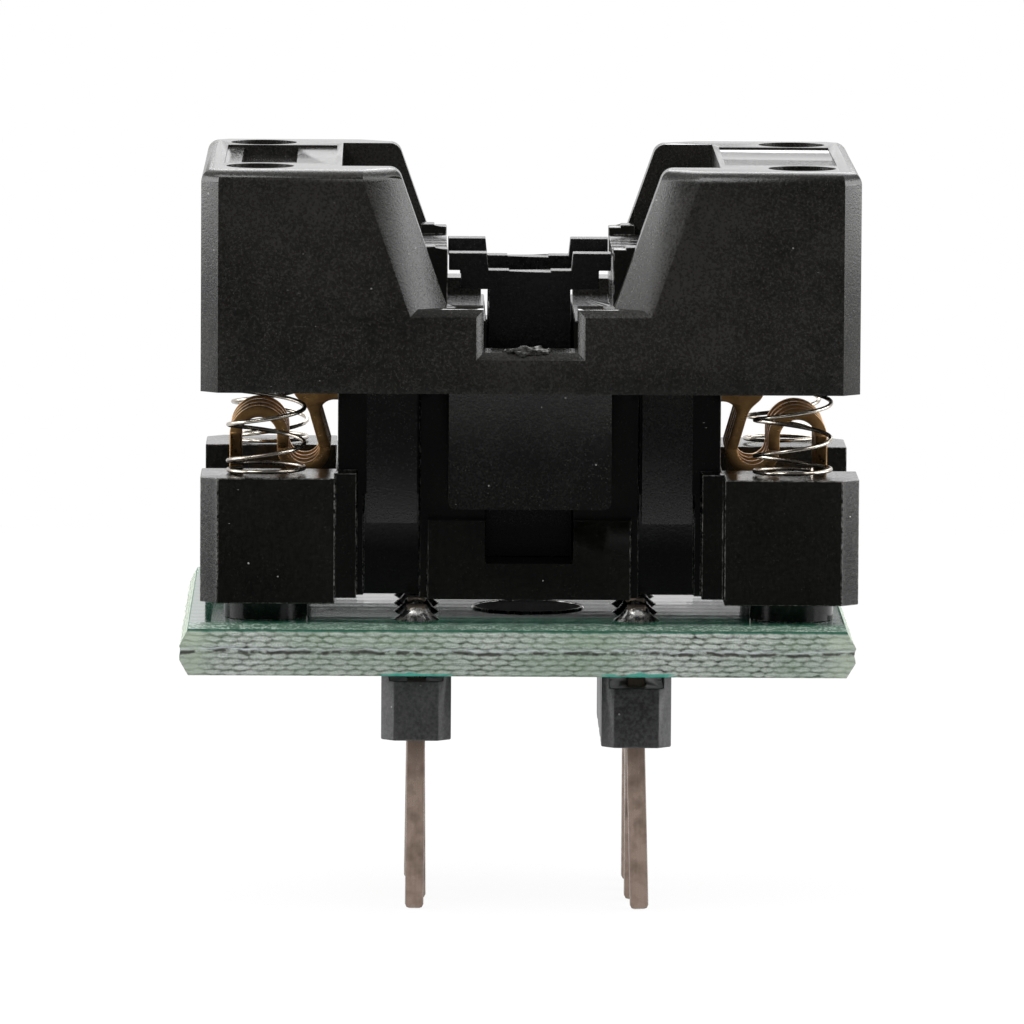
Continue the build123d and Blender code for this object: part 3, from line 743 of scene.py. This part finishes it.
def pushed(bm, section, vec):
    """Extrude a section along a vector and give back the new end face."""
    grown = bmesh.ops.extrude_face_region(bm, geom=section)
    bmesh.ops.delete(bm, geom=section, context="FACES_ONLY")
    bmesh.ops.translate(bm, verts=only(bmesh.types.BMVert, grown["geom"]), vec=vec)
    return only(bmesh.types.BMFace, grown["geom"])


def swept(bm, section, centre, angle):
    """Spin a section about an axis along Y and give back the new end face."""
    turned = bmesh.ops.spin(bm, geom=section, cent=centre, axis=(0, 1, 0), angle=angle, steps=26)
    return only(bmesh.types.BMFace, turned["geom_last"])


def softened_strip(bm):
    """Round over a strip's long edges, as its stamping leaves them."""
    bmesh.ops.remove_doubles(bm, verts=bm.verts, dist=WELD)
    bmesh.ops.recalc_face_normals(bm, faces=bm.faces)
    hard = [edge for edge in bm.edges if edge.is_manifold and edge.calc_face_angle() > radians(60)]
    softened(bm, hard, 0.035)


def mirrored(bm, side):
    """Turn a right-hand strip into its left-hand twin where the side asks for it."""
    if side < 0:
        middle = Matrix.Translation(place(-SOCKET_X, 0, 0))
        bmesh.ops.scale(bm, verts=bm.verts, vec=(-1, 1, 1), space=middle)
        bmesh.ops.reverse_faces(bm, faces=bm.faces)


def rounded_web(bm):
    """Give the arm's inside corners, where limb and web meet, the radii of the stamping."""
    corners = []
    low, high = 16.8 * MM, 17.6 * MM
    for edge in bm.edges:
        one, other = edge.verts[0].co, edge.verts[1].co
        if abs(one.y - other.y) > 0.25 * MM and low < one.z < high:
            corners.append(edge)
    softened(bm, corners, 0.19, segments=4, clamp_overlap=True)


def make_contacts():
    """Stamped contacts: a looped root, a bend, and an arm with a nose and a beak."""
    for side, name in SIDES:
        for number, y in enumerate(CONTACT_COLUMNS, 1):
            root = bmesh.new()
            leg = strip_section(root, LEG, y, LEG_Z)
            leg = pushed(root, leg, place(0, 0, LOOP_Z - LEG_Z))
            leg = swept(root, leg, place(SOCKET_X + LOOP_X, 0, LOOP_Z), -pi)
            pushed(root, leg, place(0, 0, BEND_Z - LOOP_Z))
            tail = strip_section(root, TAIL, y, TAIL_Z)
            pushed(root, tail, place(0, 0, LEG_Z - TAIL_Z))
            softened_strip(root)
            mirrored(root, side)
            node = f"{name}_contact_{number}"
            nodes = [node + "_root"]
            piece(root, node + "_loop", "bronze", "board", nodes, sharp=30)
            bend = bmesh.new()
            section = strip_section(bend, LIMB, y, BEND_Z)
            swept(bend, section, place(SOCKET_X + BEND_X, 0, BEND_Z), pi)
            softened_strip(bend)
            mirrored(bend, side)
            flex = piece(bend, node + "_bend", "bronze", None, (), sharp=30)
            fixed = place(SOCKET_X + side * LIMB[0], y, 15)
            moving = place(SOCKET_X + side * BEND_INNER, y, 15)
            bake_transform(flex)
            arm = bmesh.new()
            arm.from_mesh(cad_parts[node + "_arm"].data)
            bmesh.ops.remove_doubles(arm, verts=arm.verts, dist=WELD)
            everything = arm.verts[:] + arm.edges[:] + arm.faces[:]
            level = place(0, 0, BEND_Z)
            cut = bmesh.ops.bisect_plane(
                arm, geom=everything, plane_co=level, plane_no=(0, 0, 1), clear_inner=True
            )
            rim = only(bmesh.types.BMEdge, cut["geom_cut"])
            bmesh.ops.holes_fill(arm, edges=rim, sides=0)
            plain(arm)
            rounded_web(arm)
            softened_strip(arm)
            body, nodes = name + "_arms", [node + "_arm"]
            piece(arm, node + "_finger", "bronze", body, nodes, sharp=30)


def make_tracks():
    """Copper tracks under the mask, from the pins' pads to the contacts' tails."""
    parts = []
    width, thickness, depth = 0.34, 0.03, 0.012
    for row, (side, _) in zip(PIN_ROWS, SIDES):
        for pin_y, tail_y in zip(PIN_COLUMNS, CONTACT_COLUMNS):
            points = [(row + side * away, pin_y) for away in (0.4, 3.4)]
            points += [(SOCKET_X + side * away, tail_y) for away in (8.9, 10.15)]
            for (x0, y0), (x1, y1) in zip(points, points[1:]):
                run = Vector((x1 - x0, y1 - y0, 0))
                turn = Matrix.Rotation(run.to_2d().angle_signed(Vector((1, 0))), 4, "Z")
                middle = ((x0 + x1) / 2, (y0 + y1) / 2, BOARD_BOTTOM - depth)
                strip = bmesh.new()
                shape = block(middle, (run.length + 0.3, width, thickness), turn)
                bmesh.ops.create_cube(strip, size=1, matrix=shape)
                parts.append(strip)
    piece(joined(parts), "lower_tracks", "mask", "board", ())


def make_pads():
    """Tinned rings round the contact tails and the locating hole, and the plug in that hole, its
    darker matt black painted shade under the base.
    """
    centre = place(SOCKET_X, PLUG_Y, BOARD_TOP)
    ring = [(0.42, 0.0), (0.78, 0.0), (0.76, -0.03), (0.44, -0.03), (0.42, 0.0)]
    rim = [(PLUG_RADIUS, 0.0), (1.85, 0.05), (1.93, 0.06), (1.97, 0.0), (PLUG_RADIUS, 0.0)]
    pads = joined(round_tails(ring) + [lathed(rim, centre, 48)])
    piece(pads, "bare_pads", "solder", "board", (), sharp=40)
    # The plug's darker matt black is painted shade under the base.
    plug = [(0, 0.0), (PLUG_RADIUS, 0.0), (PLUG_RADIUS, 0.03), (0, 0.03)]
    peg = lathed(plug, centre, 48)
    for face in peg.faces:
        face.material_index = 1 if 0.2 < face.normal.z < 0.95 else 0
    piece(peg, "locating_plug", ["shaded_matt", "base_edge"], "board", (), sharp=40)


def make_gate_scar():
    """Torn stub left in the cover's front notch where the mould's gate broke off."""
    bm = bmesh.new()
    lump = block((SOCKET_X - 0.1, -7.3, 19.5), (0.85, 0.32, 0.16))
    bmesh.ops.create_icosphere(bm, subdivisions=4, radius=1, matrix=lump)
    for vert in bm.verts:
        rough = noise.fractal(vert.co / MM * 3.4, 0.7, 2.1, 4)
        vert.co += vert.normal * rough * 0.12 * MM
    piece(bm, "gate_scar", "cover", "cover", (), sharp=60)


def make_lights():
    """Soft studio light: a room, white behind the object and dim before it, and soft boxes."""
    world = bpy.data.worlds.new("studio")
    bpy.context.scene.world = world
    world.use_nodes = True
    room = Tree(world.node_tree)
    seen = room.most(room.ray("Camera"), room.ray("Transmission"))
    glossy = room.ray("Glossy")
    direction = room.node("TexCoord", {}, {}, "Generated")
    ahead = room.node("SeparateXYZ", {}, {0: direction}, 1)
    soft = (room.between(ahead, -0.6, 0.35) * 0.9 + 0.1) * (glossy * 0.4 + 0.6)
    background = world.node_tree.nodes["Background"]
    background.inputs["Color"].default_value = (1, 1, 1, 1)
    room.feed(background.inputs["Strength"], seen + (1 - seen) * soft)
    middle = place(0, 0, 13)
    for name, spot, size, power in (
        ("key", (-210, -170, 310), 200, 0.95),
        ("fill", (260, -140, 230), 220, 0.55),
        ("rim", (40, 240, 220), 240, 0.6),
        ("left_box", (-240, 15, 30), 220, 0.88),
        ("right_box", (240, 15, 30), 220, 0.88),
    ):
        lamp = bpy.data.lights.new(name, "AREA")
        lamp.energy = power
        lamp.size = size * MM
        shown = bpy.data.objects.new(name, lamp)
        shown.location = place(*spot)
        aim = middle - shown.location
        shown.rotation_euler = aim.to_track_quat("-Z", "Y").to_euler()
        shown.visible_camera = False
        bpy.context.scene.collection.objects.link(shown)


def make_floor():
    """Plain white floor from just before the object to far behind it, with a faint shadow."""
    half, front = 1.5, -0.035
    centre = Matrix.Translation((0, front + half, 0))
    bm = bmesh.new()
    bmesh.ops.create_grid(bm, x_segments=1, y_segments=1, size=half, matrix=centre)
    mesh = bpy.data.meshes.new("floor")
    bm.to_mesh(mesh)
    bm.free()
    floor = bpy.data.objects.new("floor", mesh)
    bpy.context.scene.collection.objects.link(floor)
    paper = Finish("white_floor", Base_Color=(0.9, 0.9, 0.9, 1), Roughness=0.9)
    glow = paper.node("Emission", {}, {"Color": (1, 1, 1, 1), "Strength": 1.0})
    away = paper.node("VectorMath", {"operation": "LENGTH"}, {0: paper.here}, 1)
    seen = paper.most(paper.ray("Camera"), paper.ray("Glossy"))
    seen = paper.most(seen, paper.ray("Transmission"))
    share = seen * (paper.between(away, 0.03, 0.12) * 0.08 + 0.92)
    lit = Value(paper, paper.shader.outputs[0])
    mix = paper.node("MixShader", {}, {0: share, 1: lit, 2: glow})
    paper.feed(paper.tree.nodes["Material Output"].inputs["Surface"], mix)
    mesh.materials.append(paper.material)


def make_camera():
    """The photograph's view: a long lens before the object, looking six degrees down."""
    eye = place(-4.2733, -406.1615, 55.5746)
    yaw, pitch, roll = radians(0.58618), radians(5.96003), radians(0.34715)
    ahead = Vector((sin(yaw) * cos(pitch), cos(yaw) * cos(pitch), -sin(pitch)))
    level = ahead.cross(Vector((0, 0, 1))).normalized()
    up = level.cross(ahead)
    across = level * cos(roll) + up * sin(roll)
    upward = up * cos(roll) - level * sin(roll)
    lens = bpy.data.cameras.new("photo_view")
    lens.lens = 408.27
    lens.clip_start = 0.05
    lens.clip_end = 20
    camera = bpy.data.objects.new("photo_view", lens)
    turn = Matrix((across, upward, -ahead)).transposed().to_4x4()
    camera.matrix_world = Matrix.Translation(eye) @ turn
    bpy.context.scene.collection.objects.link(camera)
    bpy.context.scene.camera = camera


make_camera()
make_mouldings()
make_board()
make_pins()
make_solder()
make_springs()
make_contacts()
make_tracks()
make_pads()
make_gate_scar()
make_lights()
make_floor()
bpy.context.scene.view_settings.view_transform = "Standard"
